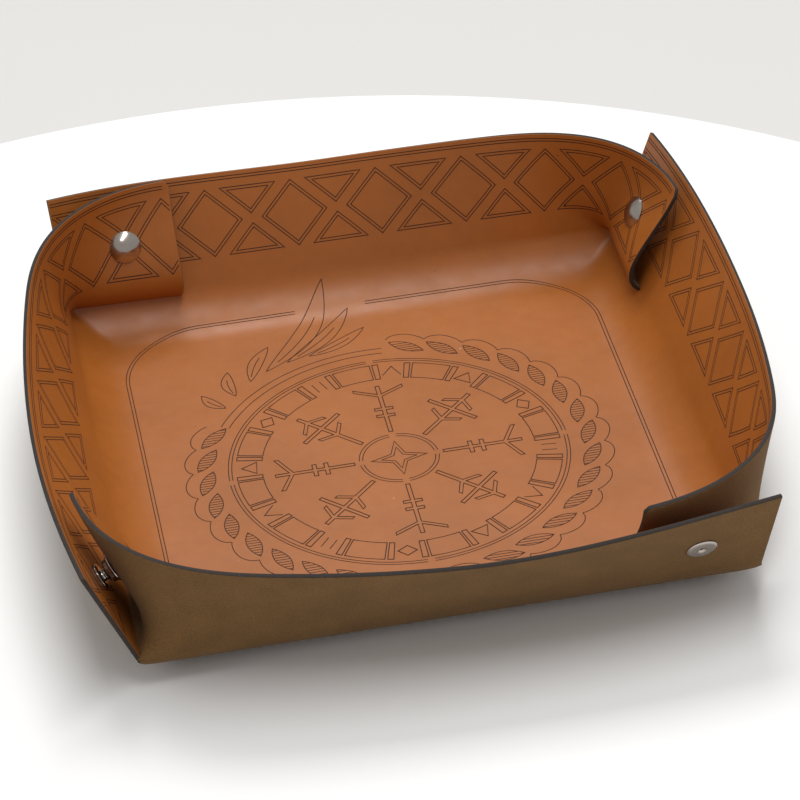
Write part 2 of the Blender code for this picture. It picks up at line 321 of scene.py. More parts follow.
    def piece_at(self, x, y):
        """Which piece of leather a flat place of the whole sheet belongs to."""
        sizes = self.sizes
        reach = max(abs(x), abs(y))
        if reach <= sizes.floor_half:
            return "floor", 0
        for wall in range(4):
            along, distance = self.from_wall(x, y, wall)
            if reach <= sizes.slit_at:
                if distance >= reach:
                    return "fold", wall
                continue
            if distance <= sizes.slit_at or along >= sizes.slit_at:
                continue
            height = (distance - sizes.slit_at) / self.band
            past_slit = along + sizes.slit_at
            if past_slit >= CORNER_FROM * height:
                return "wall", wall
            if past_slit >= CURL_FROM * height:
                return "corner", wall
            if past_slit >= FLAP_FROM * height:
                return "curl", wall
            return "flap", wall
        return "floor", 0

    def snap_frames(self, studs):
        """The middles of the flap and of the next wall at the front wall's press stud, with their
        outward sides."""
        flap_place = self.place(studs.along, studs.out)
        flap_axis = self.outward(studs.along, studs.out)
        slit = self.sizes.slit_at
        alongs, distances = np.meshgrid(np.linspace(slit, slit / 2, 200), np.linspace(slit, studs.out, 60))
        wall_places = turned_points(self.place(alongs, distances), 1)
        away = wall_places - flap_place
        away = away - (away @ flap_axis)[..., None] * flap_axis
        nearest = np.unravel_index(np.argmin(np.linalg.norm(away, axis=-1)), alongs.shape)
        wall_axis = turned_points(self.outward(alongs[nearest], distances[nearest]), 1)
        return flap_place, flap_axis, wall_places[nearest], wall_axis


# ---------------------------------------------------------------- following the CAD bodies


def follow(piece, sheet, kind, wall):
    """Ties a floor, wall or flap piece of leather, or the lines on it, to the CAD body that carries it. A fold,
    corner or curl piece is tied to no body; its placement is baked into its mesh.
    """
    if kind == "floor":
        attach(piece, "floor")
        return
    name = WALLS[wall]
    if kind in ("wall", "flap"):
        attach(piece, f"{kind}_{name}")
        return
    if kind == "fold":
        bodies = ("floor", "wall_" + name)
    else:
        cuts = {"corner": (CORNER_FROM, CURL_FROM), "curl": (CURL_FROM, FLAP_FROM)}[kind]
        for cut in cuts:
            top = sheet.place(cut - sheet.sizes.slit_at, sheet.sizes.sheet_half) - sheet.root
        bodies = {"corner": ("wall_", "curl_"), "curl": ("curl_", "flap_")}[kind]
        bodies = (bodies[0] + name, bodies[1] + name)
    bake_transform(piece)


def piece_name(kind, wall):
    return "floor_panel" if kind == "floor" else f"{kind}_{WALLS[wall]}"


# ---------------------------------------------------------------- materials


def add_node(tree, kind, settings=None, inputs=None):
    """Adds a node, sets its settings, and sets or links its inputs."""
    node = tree.nodes.new(kind)
    for name, value in (settings or {}).items():
        setattr(node, name, value)
    for name, value in (inputs or {}).items():
        if isinstance(value, bpy.types.NodeSocket):
            tree.links.new(value, node.inputs[name])
        else:
            node.inputs[name].default_value = value
    return node


def new_material(name, **constants):
    """A material with its shader's own constants set. Returns the material, its tree and shader."""
    made = bpy.data.materials.new(name)
    made.use_nodes = True
    shader = made.node_tree.nodes["Principled BSDF"]
    for socket, value in constants.items():
        shader.inputs[socket.replace("_", " ")].default_value = value
    return made, made.node_tree, shader


def ramp(tree, factor, stops):
    """A colour ramp with stops of (position, linear colour)."""
    node = add_node(tree, "ShaderNodeValToRGB", inputs={"Fac": factor})
    elements = node.color_ramp.elements
    while len(elements) < len(stops):
        elements.new(0.5)
    for element, (position, shade) in zip(elements, stops):
        element.position = position
        element.color = (*shade, 1.0)
    return node.outputs["Color"]


def shaded(shade, amount):
    """A colour made darker or lighter."""
    return tuple(min(1.0, part * amount) for part in shade)


def flat_place_mm(tree, sizes):
    """Each point's flat place on the leather, in millimetres."""
    uv = add_node(tree, "ShaderNodeUVMap", {"uv_map": FLAT_UV})
    width = 2 * sizes.sheet_half / MM
    scaled = add_node(
        tree,
        "ShaderNodeMapping",
        inputs={"Vector": uv.outputs["UV"], "Scale": (width, width, width)},
    )
    return scaled.outputs["Vector"]


def noise(tree, place, size_mm, detail=2.0, roughness=0.5):
    """Noise with features about this many millimetres across, where place is in millimetres."""
    node = add_node(
        tree,
        "ShaderNodeTexNoise",
        inputs={"Vector": place, "Scale": 1 / size_mm, "Detail": detail, "Roughness": roughness},
    )
    return node.outputs["Fac"]


def remap(tree, value, low, high, to_low, to_high):
    node = add_node(
        tree,
        "ShaderNodeMapRange",
        inputs={
            "Value": value,
            "From Min": low,
            "From Max": high,
            "To Min": to_low,
            "To Max": to_high,
        },
    )
    return node.outputs["Result"]


def mix_colour(tree, factor, first, second, blend="MIX"):
    node = add_node(tree, "ShaderNodeMix", {"data_type": "RGBA", "blend_type": blend})
    for socket, value in ((0, factor), (6, first), (7, second)):
        if isinstance(value, bpy.types.NodeSocket):
            tree.links.new(value, node.inputs[socket])
        else:
            node.inputs[socket].default_value = value if socket == 0 else (*value, 1.0)
    return node.outputs[2]


def bump(tree, height, strength, distance, normal=None):
    inputs = {"Height": height, "Strength": strength, "Distance": distance}
    if normal is not None:
        inputs["Normal"] = normal
    return add_node(tree, "ShaderNodeBump", inputs=inputs).outputs["Normal"]


def grain_leather(colours, sizes):
    """Corrected-grain cowhide, drum-dyed tan and plated under a hot press, then given a thin
    satin finish. To the eye: an even orange brown with soft cloudy shading, pores too fine to see
    one by one, a broad dull sheen, and a few dark and pale specks of dust and scars."""
    made, tree, shader = new_material(
        "satin_tan_grain_leather", IOR=1.42
    )
    place = flat_place_mm(tree, sizes)
    cloud = noise(tree, place, 42, 3.0)
    mottle = noise(tree, place, 5, 4.0, 0.6)
    tan = tuple(colours.grain)
    base = ramp(tree, cloud, [(0.3, shaded(tan, 0.92)), (0.7, shaded(tan, 1.07))])
    fine = ramp(tree, mottle, [(0.3, (0.93, 0.92, 0.90)), (0.7, (1.0, 1.0, 1.0))])
    base = mix_colour(tree, 1.0, base, fine, "MULTIPLY")
    # Pores are 0.1 to 0.2 mm across; they are drawn 0.5 mm across, so that they show.
    pores = noise(tree, place, 0.5, 3.0, 0.65)
    specks = add_node(
        tree,
        "ShaderNodeTexVoronoi",
        {"feature": "F1"},
        {"Vector": place, "Scale": 1 / 11.0, "Randomness": 1.0},
    )
    speck = remap(tree, specks.outputs["Distance"], 0.022, 0.045, 1.0, 0.0)
    tint = add_node(tree, "ShaderNodeSeparateColor", inputs={"Color": specks.outputs["Color"]})
    is_dark = remap(tree, tint.outputs["Red"], 0.55, 0.6, 0.0, 0.75)
    is_pale = remap(tree, tint.outputs["Green"], 0.86, 0.9, 0.0, 0.6)
    for chosen, shade in ((is_dark, shaded(tan, 0.32)), (is_pale, linear("#E6C7A8"))):
        amount = add_node(
            tree, "ShaderNodeMath", {"operation": "MULTIPLY"}, {0: speck, 1: chosen}
        ).outputs[0]
        base = mix_colour(tree, amount, base, shade)
    tree.links.new(base, shader.inputs["Base Color"])
    patchy = noise(tree, place, 9, 3.0)
    tree.links.new(remap(tree, patchy, 0.3, 0.7, 0.34, 0.43), shader.inputs["Roughness"])
    swell = bump(tree, cloud, 0.35, 1.2 * MM)
    surface = bump(tree, pores, 0.16, 0.05 * MM, swell)
    tree.links.new(surface, shader.inputs["Normal"])
    return made


def suede_leather(colours, sizes):
    """The flesh side of the same hide, split and buffed. To the eye: matt olive brown, with short
    matted fibres that catch the light in soft blotches, and no gloss."""
    made, tree, shader = new_material(
        "buffed_flesh_side_suede", IOR=1.3, Sheen_Weight=0.04, Sheen_Roughness=0.5
    )
    place = flat_place_mm(tree, sizes)
    blotch = noise(tree, place, 16, 4.0, 0.6)
    # Fibre tufts are about 0.3 mm across; they are drawn 0.8 mm across, so that they show.
    tufts = noise(tree, place, 0.8, 4.0, 0.75)
    brown = tuple(colours.suede)
    base = ramp(tree, blotch, [(0.25, shaded(brown, 0.84)), (0.75, shaded(brown, 1.12))])
    fibres = ramp(tree, tufts, [(0.3, (0.62, 0.60, 0.56)), (0.7, (1.12, 1.12, 1.12))])
    base = mix_colour(tree, 1.0, base, fibres, "MULTIPLY")
    tree.links.new(base, shader.inputs["Base Color"])
    tree.links.new(remap(tree, tufts, 0.2, 0.8, 0.88, 1.0), shader.inputs["Roughness"])
    surface = bump(tree, tufts, 0.6, 0.18 * MM)
    tree.links.new(surface, shader.inputs["Normal"])
    return made


def object_place_mm(tree):
    """Each point's place on the piece, in millimetres."""
    coordinates = add_node(tree, "ShaderNodeTexCoord")
    scaled = add_node(
        tree,
        "ShaderNodeMapping",
        inputs={"Vector": coordinates.outputs["Object"], "Scale": (1 / MM,) * 3},
    )
    return scaled.outputs["Vector"]


def burnt_edge(colours):
    """The edge that the laser cut through the hide. To the eye: charred dark grey, dull, with
    paler fibres where the char has rubbed off."""
    made, tree, shader = new_material("laser_charred_cut_edge", IOR=1.45)
    place = object_place_mm(tree)
    rubbed = noise(tree, place, 1.2, 4.0, 0.7)
    dark = tuple(colours.edge)
    base = ramp(tree, rubbed, [(0.35, shaded(dark, 0.6)), (0.62, dark), (0.8, shaded(dark, 2.0))])
    tree.links.new(base, shader.inputs["Base Color"])
    tree.links.new(remap(tree, rubbed, 0.3, 0.7, 0.75, 0.95), shader.inputs["Roughness"])
    tree.links.new(bump(tree, rubbed, 0.5, 0.15 * MM), shader.inputs["Normal"])
    return made


def burnt_line(colours):
    """Leather burnt by the laser's engraving pass. To the eye: thin, dark and dull, a little
    browner where the beam was weak."""
    made, tree, shader = new_material("laser_engraved_leather_line", IOR=1.45)
    place = object_place_mm(tree)
    power = noise(tree, place, 6, 2.0)
    dark = tuple(colours.line)
    base = ramp(tree, power, [(0.35, shaded(dark, 0.75)), (0.7, shaded(dark, 1.6))])
    tree.links.new(base, shader.inputs["Base Color"])
    tree.links.new(remap(tree, power, 0.3, 0.7, 0.7, 0.9), shader.inputs["Roughness"])
    return made


def nickel_plate(colours):
    """Pressed brass with bright nickel plating. To the eye: a clear mirror with a warm grey tint,
    dulled a little by handling and fine scratches."""
    made, tree, shader = new_material("bright_nickel_plated_brass", Metallic=1.0)
    place = object_place_mm(tree)
    smudge = noise(tree, place, 3.5, 3.0)
    # Scratches are hundredths of a millimetre wide; they are drawn 0.15 mm wide, so that they show.
    scratch = noise(tree, place, 0.15, 2.0)
    bright = tuple(colours.nickel)
    base = ramp(tree, smudge, [(0.3, shaded(bright, 0.88)), (0.7, bright)])
    tree.links.new(base, shader.inputs["Base Color"])
    tree.links.new(remap(tree, smudge, 0.3, 0.7, 0.14, 0.26), shader.inputs["Roughness"])
    tree.links.new(bump(tree, scratch, 0.05, 0.02 * MM), shader.inputs["Normal"])
    return made


def studio_surface(name, shade):
    """Matt laminate or paper of the studio. To the eye: plain, pale and even, with no gloss."""
    made, tree, shader = new_material(name, IOR=1.3, Roughness=0.7)
    place = object_place_mm(tree)
    cloud = noise(tree, place, 400, 2.0)
    pale = tuple(shade)
    base = ramp(tree, cloud, [(0.3, shaded(pale, 0.985)), (0.7, pale)])
    tree.links.new(base, shader.inputs["Base Color"])
    return made


MATERIAL_MAKERS = {
    "satin_tan_grain_leather": lambda scene: grain_leather(scene.tray_colours, scene.tray_leather),
    "buffed_flesh_side_suede": lambda scene: suede_leather(scene.tray_colours, scene.tray_leather),
    "laser_charred_cut_edge": lambda scene: burnt_edge(scene.tray_colours),
    "laser_engraved_leather_line": lambda scene: burnt_line(scene.tray_colours),
    "bright_nickel_plated_brass": lambda scene: nickel_plate(scene.tray_colours),
    "matt_white_laminate": lambda scene: studio_surface("matt_white_laminate", scene.tray_colours.table),
    "pale_studio_paper": lambda scene: studio_surface("pale_studio_paper", scene.tray_colours.backdrop),
}


def material(name):
    """The named material, made when it is first asked for."""
    return bpy.data.materials.get(name) or MATERIAL_MAKERS[name](bpy.context.scene)


# ---------------------------------------------------------------- the leather

GRAIN_SLOT, SUEDE_SLOT, EDGE_SLOT = 0, 1, 2


def link_object(name, data):
    made = bpy.data.objects.new(name, data)
    bpy.context.scene.collection.objects.link(made)
    return made


def edge_steps(sizes):
    """How a cut edge is rounded: steps of (distance in from the edge, half thickness there)."""
    half = sizes.thickness / 2
    worn = sizes.edge_round
    return [(0.0, half - worn), (0.3 * worn, half - 0.3 * worn), (worn, half)]


def rounded_run(low, high, count, sizes, round_low, round_high):
    """Places from low to high with the half thickness at each, closer together at a cut edge."""
    steps = edge_steps(sizes)
    sign = 1 if high > low else -1
    inner_low = low + sign * (sizes.edge_round if round_low else 0)
    inner_high = high - sign * (sizes.edge_round if round_high else 0)
    run = [(place, sizes.thickness / 2) for place in np.linspace(inner_low, inner_high, count)]
    if round_low:
        run = [(low + sign * inset, half) for inset, half in steps[:-1]] + run
    if round_high:
        run = run + [(high - sign * inset, half) for inset, half in reversed(steps[:-1])]
    return run


def leather_object(name, sheet, along, distance, half, cut_sides, wall):
    """A closed slab of leather over a grid of flat places seen from one wall. cut_sides names the
    sides of the grid that are cut edges: first_row, last_row, first_column and last_column."""
    sizes = sheet.sizes
    rows, columns = along.shape
    middle = turned_points(sheet.place(along, distance), wall)
    outward = turned_points(sheet.outward(along, distance), wall)
    flat = turned_points(np.stack((along, -distance, np.zeros_like(along)), -1), wall)[..., :2]
    flat = flat / (2 * sizes.sheet_half) + 0.5
    vertices, normals, places, index = [], [], [], {}
    sides = []
    for side in (-1, 1):
        ids = np.zeros((rows, columns), int)
        for i in range(rows):
            for j in range(columns):
                point = middle[i, j] + outward[i, j] * half[i, j] * side
                key = (side, *(round(float(part), 7) for part in point))
                if key not in index:
                    index[key] = len(vertices)
                    vertices.append(tuple(point))
                    normals.append(outward[i, j] * side)
                    places.append(flat[i, j])
                ids[i, j] = index[key]
        sides.append(ids)
    inner, outer = sides
    faces, slots, smooth, custom = [], [], [], []

    def add_face(corners, slot, is_smooth, is_custom):
        corners = list(dict.fromkeys(int(corner) for corner in corners))
        if len(corners) > 2:
            faces.append(corners)
            slots.append(slot)
            smooth.append(is_smooth)
            custom.append(is_custom)

    full = sizes.thickness / 2 - 1e-7
    for i in range(rows - 1):
        for j in range(columns - 1):
            block = np.s_[i : i + 2, j : j + 2]
            is_worn = half[block].min() < full
            for ids, slot, order in (
                (inner, GRAIN_SLOT, ((0, 0), (0, 1), (1, 1), (1, 0))),
                (outer, SUEDE_SLOT, ((0, 0), (1, 0), (1, 1), (0, 1))),
            ):
                corners = [ids[i + a, j + b] for a, b in order]
                add_face(corners, EDGE_SLOT if half[block].max() < full else slot, True, not is_worn)
    rim = {
        "first_row": [(0, j) for j in range(columns)],
        "last_column": [(i, columns - 1) for i in range(rows)],
        "last_row": [(rows - 1, j) for j in range(columns - 1, -1, -1)],
        "first_column": [(i, 0) for i in range(rows - 1, -1, -1)],
    }
    for side, path in rim.items():
        is_cut = side in cut_sides
        for first, second in zip(path, path[1:]):
            corners = (inner[second], inner[first], outer[first], outer[second])
            add_face(corners, EDGE_SLOT, is_cut, False)
    mesh = bpy.data.meshes.new(name)
    mesh.from_pydata(vertices, [], faces)
    mesh.polygons.foreach_set("material_index", slots)
    mesh.polygons.foreach_set("use_smooth", smooth)
    uv = mesh.uv_layers.new(name=FLAT_UV)
    loop_normals = []
    for polygon, is_custom in zip(mesh.polygons, custom):
        for loop in polygon.loop_indices:
            vertex = mesh.loops[loop].vertex_index
            uv.data[loop].uv = places[vertex]
            loop_normals.append(normals[vertex] if is_custom else (0.0, 0.0, 0.0))
    mesh.normals_split_custom_set(loop_normals)
    for slot in ("satin_tan_grain_leather", "buffed_flesh_side_suede", "laser_charred_cut_edge"):
        mesh.materials.append(material(slot))
    return link_object(name, mesh)


def finish_leather(piece, sheet, kind, wall):
    follow(piece, sheet, kind, wall)
    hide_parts(piece_name(kind, wall))


def make_leather_floor(sheet):
    reach = sheet.sizes.floor_half
    run = np.concatenate(([-reach, -reach + 2 * MM], np.linspace(-reach + 4 * MM, reach - 4 * MM, 15)))
    run = np.concatenate((run, [reach - 2 * MM, reach]))
    along, distance = np.meshgrid(run[::-1], run)
    half = np.full(along.shape, sheet.sizes.thickness / 2)
    piece = leather_object("leather_floor_panel", sheet, along, distance, half, (), 0)
    finish_leather(piece, sheet, "floor", 0)


def make_leather_fold(sheet, wall):
    distances = np.linspace(sheet.sizes.floor_half, sheet.sizes.slit_at, 13)
    shares = np.linspace(1.0, -1.0, 81)
    distance, share = np.meshgrid(distances, shares, indexing="ij")
    half = np.full(distance.shape, sheet.sizes.thickness / 2)
    piece = leather_object(
        "leather_" + piece_name("fold", wall), sheet, share * distance, distance, half, (), wall
    )
    finish_leather(piece, sheet, "fold", wall)


def band_piece(sheet, kind, wall):
    """One of the four pieces of a wall's band, between two straight cuts from the slit's start."""
    sizes = sheet.sizes
    cuts = {
        "wall": (None, CORNER_FROM, 70),
        "corner": (CORNER_FROM, CURL_FROM, 25),
        "curl": (CURL_FROM, FLAP_FROM, 31),
        "flap": (FLAP_FROM, None, 19),
    }
    first_cut, last_cut, count = cuts[kind]
    is_flap = kind == "flap"
    foot = sizes.slit_at + (sizes.kerf if is_flap else 0)
    heights = rounded_run(foot, sizes.sheet_half, 21, sizes, is_flap, True)
    along, half = [], []
    for distance, row_half in heights:
        height = (distance - sizes.slit_at) / sheet.band
        start = sizes.slit_at - sizes.kerf if first_cut is None else first_cut * height - sizes.slit_at
        end = flap_end(sizes, distance) if last_cut is None else last_cut * height - sizes.slit_at
        run = rounded_run(start, end, count, sizes, first_cut is None, last_cut is None)
        along.append([place for place, _ in run])
        half.append([min(row_half, column_half) for _, column_half in run])
    along = np.array(along)
    distance = np.repeat(np.array([[d] for d, _ in heights]), along.shape[1], axis=1)
    cut_sides = ["last_row"]
    cut_sides += ["first_row", "last_column"] if is_flap else []
    cut_sides += ["first_column"] if kind == "wall" else []
    name = "leather_" + piece_name(kind, wall)
    piece = leather_object(name, sheet, along, distance, np.array(half), cut_sides, wall)
    finish_leather(piece, sheet, kind, wall)


def flap_end(sizes, distance):
    """Where the flap ends at a distance from the sheet's middle, with its top corner rounded."""
    into_corner = max(0.0, distance - (sizes.sheet_half - sizes.flap_round))
    return -sizes.sheet_half + sizes.flap_round - math.sqrt(sizes.flap_round**2 - into_corner**2)


# ---------------------------------------------------------------- the engraving, drawn flat

RING_BREAK = math.radians(1.2)
SPRAY_FROM = 84  # degrees; the leaf spray stands in for the braid between these
SPRAY_TO = 149


def arc(centre, radius, start, end, step=3.0):
    """Points of an arc, with its angles in degrees."""
    count = max(2, int(abs(end - start) / step) + 2)
    angles = np.radians(np.linspace(start, end, count))
    return np.stack((centre[0] + radius * np.cos(angles), centre[1] + radius * np.sin(angles)), -1)


def closed(points):
    points = np.asarray(points, float)
    return np.vstack((points, points[:1]))


def broken_ring(centre, radius, gap):
    """A ring in four arcs, with a gap at each quarter."""
    return [arc(centre, radius, 90 * k + gap, 90 * k + 90 - gap) for k in range(4)]


def radial(centre, points, degrees):
    """Turns points of (distance out, distance across) about a centre."""
    points = np.asarray(points, float)
    c, s = math.cos(math.radians(degrees)), math.sin(math.radians(degrees))
    x = centre[0] + points[:, 0] * c - points[:, 1] * s
    y = centre[1] + points[:, 0] * s + points[:, 1] * c
    return np.stack((x, y), -1)


def barred_outline(start, end, half_width, bars):
    """The outline of a straight bar with bars across it. Each is (place, reach, slant)."""
    side = [(start, half_width)]
    for place, reach, slant in sorted(bars):
        side.append((place - half_width, half_width))
        side.append((place - half_width + slant, reach))
        side.append((place + half_width + slant, reach))
        side.append((place + half_width, half_width))
    side.append((end, half_width))
    return closed(side + [(along, -across) for along, across in reversed(side)])


def spokes(centre, radius):
    """Eight outlined bars round the middle, of two plain kinds in turn."""
    width = 0.012 * radius
    rake = [(0.43, 0.055, 0.0), (0.50, 0.055, 0.0), (0.64, 0.15, 0.07)]
    comb = [(0.45, 0.10, 0.05), (0.56, 0.17, 0.0), (0.66, 0.10, -0.05)]
    lines = []
    for k in range(8):
        bars = rake if k % 2 == 0 else comb
        scaled = [tuple(value * radius for value in entry) for entry in bars]
        outline = barred_outline(0.265 * radius, 0.735 * radius, width, scaled)
        lines.append(radial(centre, outline, 45 * k))
    return lines


def cell_motif(kind, low, high, half):
    """A small plain figure between two rings, as lines of (distance out, distance across)."""
    middle, reach = (low + high) / 2, (high - low) * 0.30
    if kind == 0:
        return [closed([(middle - reach, 0), (middle, half), (middle + reach, 0), (middle, -half)])]
    if kind == 1:
        return [closed([(middle - reach, -half), (middle - reach, half), (middle + reach, 0)])]
    if kind == 2:
        return [np.array([(middle - reach, -half), (middle + reach, 0), (middle - reach, half)])]
    return [
        np.array([(middle - reach, side * half * 0.5), (middle + reach, side * half * 0.5)])
        for side in (-1, 1)
    ]


def ring_band(centre, radius):
    """The band of cells inside the ring, each an outline with a small figure in it."""
    outer, inner = 0.957 * radius, 0.807 * radius
    cells = 24
    gap = math.degrees(0.55 * MM / radius)
    lines = []
    for k in range(cells):
        start, end = 360 / cells * k + gap, 360 / cells * (k + 1) - gap
        outline = np.vstack((arc(centre, outer, start, end), arc(centre, inner, end, start)))
        if k % 2 == 0:
            lines.append(closed(outline))
        else:
            bar = 0.035 * radius
            tilt = math.degrees(bar / outer)
            for low, high in ((start, start + tilt), (end - tilt, end)):
                box = np.vstack((arc(centre, outer, low, high), arc(centre, inner, high, low)))
                lines.append(closed(box))
            for motif in cell_motif((k // 2) % 4, inner, outer, 0.055 * radius):
                lines.append(radial(centre, motif, (start + end) / 2))
    return lines


def middle_star(centre, radius):
    """A ring in four arcs round a plain four-pointed star."""
    lines = []
    for share in (0.214, 0.235):
        lines += broken_ring(centre, share * radius, 5)
    for share in (0.165, 0.105):
        points = []
        for k in range(8):
            reach = share if k % 2 == 0 else share * 0.36
            points.append((reach * radius, 45 * k))
        star = [radial(centre, [(reach, 0)], degrees)[0] for reach, degrees in points]
        lines.append(closed(star))
    return lines


def leaf_sides(length_along, width, bend=0.0, count=9):
    """The two sides of a pointed leaf that lies along the first axis from 0."""
    t = np.linspace(0, 1, count)
    spine = bend * np.sin(math.pi * t)
    swell = width / 2 * np.sin(math.pi * t) ** 0.8
    left = np.stack((t * length_along, spine + swell), -1)
    right = np.stack((t * length_along, spine - swell), -1)
    return left, right


def placed(points, base, tip):
    """Moves points drawn along the first axis so that they run from base towards tip."""
    degrees = math.degrees(math.atan2(tip[1] - base[1], tip[0] - base[0]))
    return radial(base, points, degrees)


def hatching(outline, spacing):
    """Level lines across a convex outline."""
    outline = np.asarray(outline)
    low, high = outline[:, 1].min(), outline[:, 1].max()
    lines = []
    for k in range(1, int((high - low) / spacing) + 1):
        level = low + (k - 0.35) * spacing
        crossings = []
        for (x0, y0), (x1, y1) in zip(outline, outline[1:]):
            if (y0 - level) * (y1 - level) < 0:
                crossings.append(x0 + (level - y0) / (y1 - y0) * (x1 - x0))
        if len(crossings) >= 2 and max(crossings) - min(crossings) > 0.6 * MM:
            lines.append(np.array([(min(crossings), level), (max(crossings), level)]))
    return lines


def braid(centre, radius):
    """A ring of slanting hatched leaves inside a scalloped outline, like the strands of a rope."""
    count, first = 32, 9.5
    lines, scallops = [], []
    for k in range(count):
        middle = (first + 360 / count * k) % 360
        if SPRAY_FROM < middle < SPRAY_TO:
            continue
        low_tip = radial(centre, [(1.092 * radius, 0)], middle - 5.3)[0]
        high_tip = radial(centre, [(1.180 * radius, 0)], middle + 5.6)[0]
        reach = float(np.linalg.norm(high_tip - low_tip))
        left, right = leaf_sides(reach, 5.3 * MM)
        outline = placed(closed(np.vstack((left, right[-2:0:-1]))), low_tip, high_tip)
        lines.append(outline)
        lines += hatching(outline, 1.45 * MM)
        scallops.append(middle)
    for middle in scallops:
        t = np.linspace(0, 1, 13)
        swell = np.sin(math.pi * t**1.25) ** 0.62
        angles = np.radians(middle + 6.5 - 360 / count * (1 - t))
        reach = radius * (1.210 + 0.052 * swell)
        lines.append(
            np.stack((centre[0] + reach * np.cos(angles), centre[1] + reach * np.sin(angles)), -1)
        )
    return lines


# Pointed leaves of the spray: base, tip, width and bend, in millimetres on the flat sheet
SPRAY_LEAVES = (
    ((-40, 63), (-10, 112), 9.0, -5.0),
    ((-31, 67), (-2, 97), 6.5, -3.0),
    ((-22, 69), (2, 83), 5.0, -1.8),
    ((-47, 58), (-37, 79), 5.5, 1.5),
    ((-54, 50), (-55, 66), 5.0, 1.5),
    ((-59, 43), (-67, 53), 4.5, 1.2),
)


def leaf_spray(centre, radius):
    """Plain pointed leaves with midribs, which rise from a curved stem outside the ring."""
    lines = []
    for base, tip, width, bend in SPRAY_LEAVES:
        base, tip = np.array(base) * MM, np.array(tip) * MM
        reach = float(np.linalg.norm(tip - base))
        left, right = leaf_sides(reach, width * MM, bend * MM, 17)
        lines.append(placed(closed(np.vstack((left, right[-2:0:-1]))), base, tip))
        rib = (left + right)[:-5] / 2
        lines.append(placed(rib[2:], base, tip))
    for share in (1.075, 1.125):
        lines.append(arc(centre, share * radius, SPRAY_FROM + 1, SPRAY_TO + 1))
    return lines


def floor_border():
    """The double line round the floor, with a gap at the back where the spray crosses it."""
    lines = []
    for inset in (0.0, 1.3):
        half, corner = (94.6 - inset) * MM, (33 - inset) * MM
        reach = half - corner
        back = (99.2 - inset) * MM
        front = -(98.0 - inset) * MM
        corners = (
            (reach, back - corner, 90, 0),
            (reach, front + corner, 0, -90),
            (-reach, front + corner, -90, -180),
            (-reach, back - corner, 180, 90),
        )
        points = [np.array([(5.3 * MM, back)])]
        points += [arc((x, y), corner, start, end) for x, y, start, end in corners]
        points.append(np.array([(-22.9 * MM, back)]))
        lines.append(np.vstack(points))
    return lines


def lattice_figures(sizes, engraving):
    """Diamonds between straps that cross along the wall, with triangles above and below."""
    head = sizes.sheet_half - engraving.lattice_high
    foot = sizes.sheet_half - engraving.lattice_low
    middle, half = (head + foot) / 2, (head - foot) / 2
    figures = []
    for inset in (0.0, 1.15 * MM):
        point = inset * math.sqrt(2)
        diamond = half - point
        figures.append((0.5, closed([(-diamond, 0), (0, diamond), (diamond, 0), (0, -diamond)])))
        tip = 2.0 * MM + point
        base = half - inset
        reach = base - tip
        for side in (1, -1):
            triangle = [(0, tip * side), (reach, base * side), (-reach, base * side)]
            figures.append((0.0, closed(triangle)))
    return middle, figures


def clip_along(line, low, high):
    """The parts of a line whose first coordinate is from low to high."""
    parts, current = [], []
    for a, b in zip(line, line[1:]):
        entry, leave = 0.0, 1.0
        run = b[0] - a[0]
        if abs(run) < 1e-12:
            if not low <= a[0] <= high:
                entry, leave = 1.0, 0.0
        else:
            times = sorted(((low - a[0]) / run, (high - a[0]) / run))
            entry, leave = max(0.0, times[0]), min(1.0, times[1])
        if entry >= leave:
            if len(current) > 1:
                parts.append(np.array(current))
            current = []
            continue
        start, end = a + (b - a) * entry, a + (b - a) * leave
        if not current or np.linalg.norm(current[-1] - start) > 1e-9:
            if len(current) > 1:
                parts.append(np.array(current))
            current = [start]
        current.append(end)
    if len(current) > 1:
        parts.append(np.array(current))
    return parts


def wall_lattice(sizes, engraving, wall):
    """The lattice and the double line of one wall, as lines on the whole flat sheet."""
    middle, figures = lattice_figures(sizes, engraving)
    margin = 0.8 * MM
    low, high = -sizes.sheet_half + margin, sizes.slit_at - margin
    lines = []
    for k in range(-6, 6):
        for shift, figure in figures:
            moved = figure + np.array(((k + shift) * engraving.lattice_pitch, middle))
            lines += clip_along(moved, low, high)
    for inset in (2.0, 3.1):
        level = sizes.sheet_half - inset * MM
        lines.append(np.array([(high, level), (low + 2 * MM, level)]))
    drawn = []
    for line in lines:
        points = np.stack((line[:, 0], -line[:, 1], np.zeros(len(line))), -1)
        drawn.append(turned_points(points, wall)[:, :2])
    return drawn


# ---------------------------------------------------------------- the engraving, on the leather

LINE_STEP = 1.6 * MM
LINE_TREE = "engraved_line"


def finely(line, step):
    """A line with extra points, so that none are further apart than the step."""
    points = [line[0]]
    for a, b in zip(line, line[1:]):
        count = max(1, math.ceil(np.linalg.norm(b - a) / step))
        points += [a + (b - a) * k / count for k in range(1, count + 1)]
    return np.array(points)


def corner_widths(line):
    """How much a swept line widens at each point, so that it keeps its width round corners."""
    widths = np.ones(len(line))
    is_ring = np.linalg.norm(line[0] - line[-1]) < 1e-9
    for k in range(len(line)):
        before = line[k] - line[k - 1] if k else (line[0] - line[-2] if is_ring else None)
        after = line[k + 1] - line[k] if k + 1 < len(line) else (line[1] - line[0] if is_ring else None)
        if before is None or after is None:
            continue
        cosine = np.dot(before, after) / (np.linalg.norm(before) * np.linalg.norm(after))
        half_turn = math.acos(max(-1.0, min(1.0, cosine))) / 2
        widths[k] = min(1.6, 1 / max(0.3, math.cos(half_turn)))
    return widths


